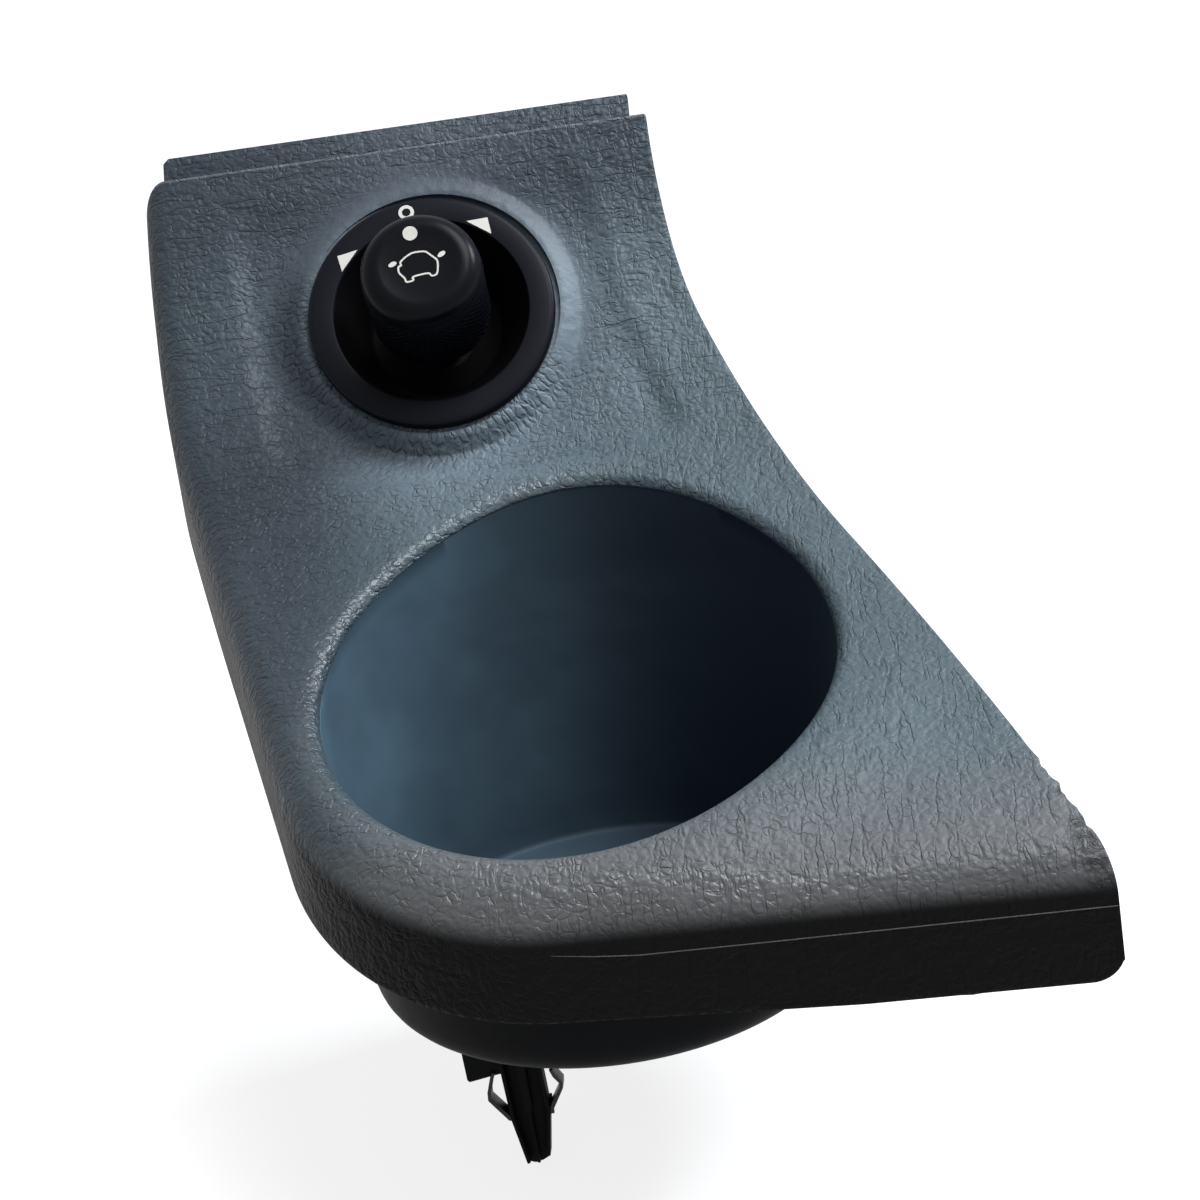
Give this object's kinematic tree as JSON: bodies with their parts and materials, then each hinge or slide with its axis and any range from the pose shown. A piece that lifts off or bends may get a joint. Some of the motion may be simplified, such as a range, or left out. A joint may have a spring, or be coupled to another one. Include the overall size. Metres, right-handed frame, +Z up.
{
  "type": "car cup holder",
  "caption": "Dashboard trim panel with a moulded cup well, a round mirror adjuster switch with a turning, tilting knob, and a clip tower.",
  "frame": {"origin": "centre of the cup floor, on the cup's axis", "axes": "+Z up along the cup's axis as fitted in the car, +X to the right along the front skirt, the driver looks along +Y"},
  "size_m": [0.1495, 0.1553, 0.1449],
  "materials": {
    "panel_plastic": "moulded leather grain, satin",
    "spring_steel": "phosphated dark",
    "switch_black": "satin black",
    "housing_black": "moulded matt",
    "spring_steel_bright": "plain",
    "knob_black": "satin with a knurled side",
    "shaft_steel": "ground",
    "acetal_natural": "moulded",
    "zinc_ring": "die cast",
    "contact_brass": "plated",
    "silicone_grey": "moulded",
    "board_green": "lacquered"
  },
  "bodies": {
    "panel": {"trim_panel": "panel_plastic", "panel_clip": "spring_steel", "switch_bezel": "switch_black", "switch_housing": "housing_black", "rear_cover": "housing_black", "retaining_spring_left": "spring_steel_bright", "retaining_spring_right": "spring_steel_bright", "gimbal_pins_outer": "shaft_steel", "return_spring": "spring_steel_bright", "dome_mat": "silicone_grey", "contact_board": "board_green", "terminal_pins": "contact_brass", "detent_ball": "shaft_steel", "detent_spring": "spring_steel_bright"},
    "gimbal": {"gimbal_ring": "zinc_ring", "gimbal_pins_inner": "shaft_steel"},
    "stick": {"stick_stem": "acetal_natural", "rocker_cross": "acetal_natural"},
    "knob": {"knob_cap": "knob_black", "drive_shaft": "shaft_steel"},
    "rotor": {"contact_rotor": "acetal_natural", "wiper_contact": "contact_brass"}
  },
  "joints": [
    {"name": "stick_sideways", "type": "hinge", "parent": "panel", "child": "gimbal", "pos_m": [-0.02582, 0.08384, 0.07579], "axis": [-0.0745, 0.5901, 0.8039], "range_deg": [-7, 7], "stiffness_Nm_per_rad": 0.4, "deforming": ["return_spring"]},
    {"name": "stick_up_down", "type": "hinge", "parent": "gimbal", "child": "stick", "pos_m": [-0.02582, 0.08384, 0.07579], "axis": [0.9921, 0.1253, 0], "range_deg": [-7, 7], "stiffness_Nm_per_rad": 0.4},
    {"name": "knob_turn", "type": "hinge", "parent": "stick", "child": "knob", "pos_m": [-0.02582, 0.08384, 0.07579], "axis": [0.1008, -0.7975, 0.5948], "range_deg": [-45, 45]},
    {"name": "rotor_turn", "type": "hinge", "parent": "panel", "child": "rotor", "pos_m": [-0.02582, 0.08384, 0.07579], "axis": [0.1008, -0.7975, 0.5948], "range_deg": [-45, 45]}
  ],
  "couplings": [
    {"joint": "rotor_turn", "follows": "knob_turn", "ratio": 1}
  ]
}
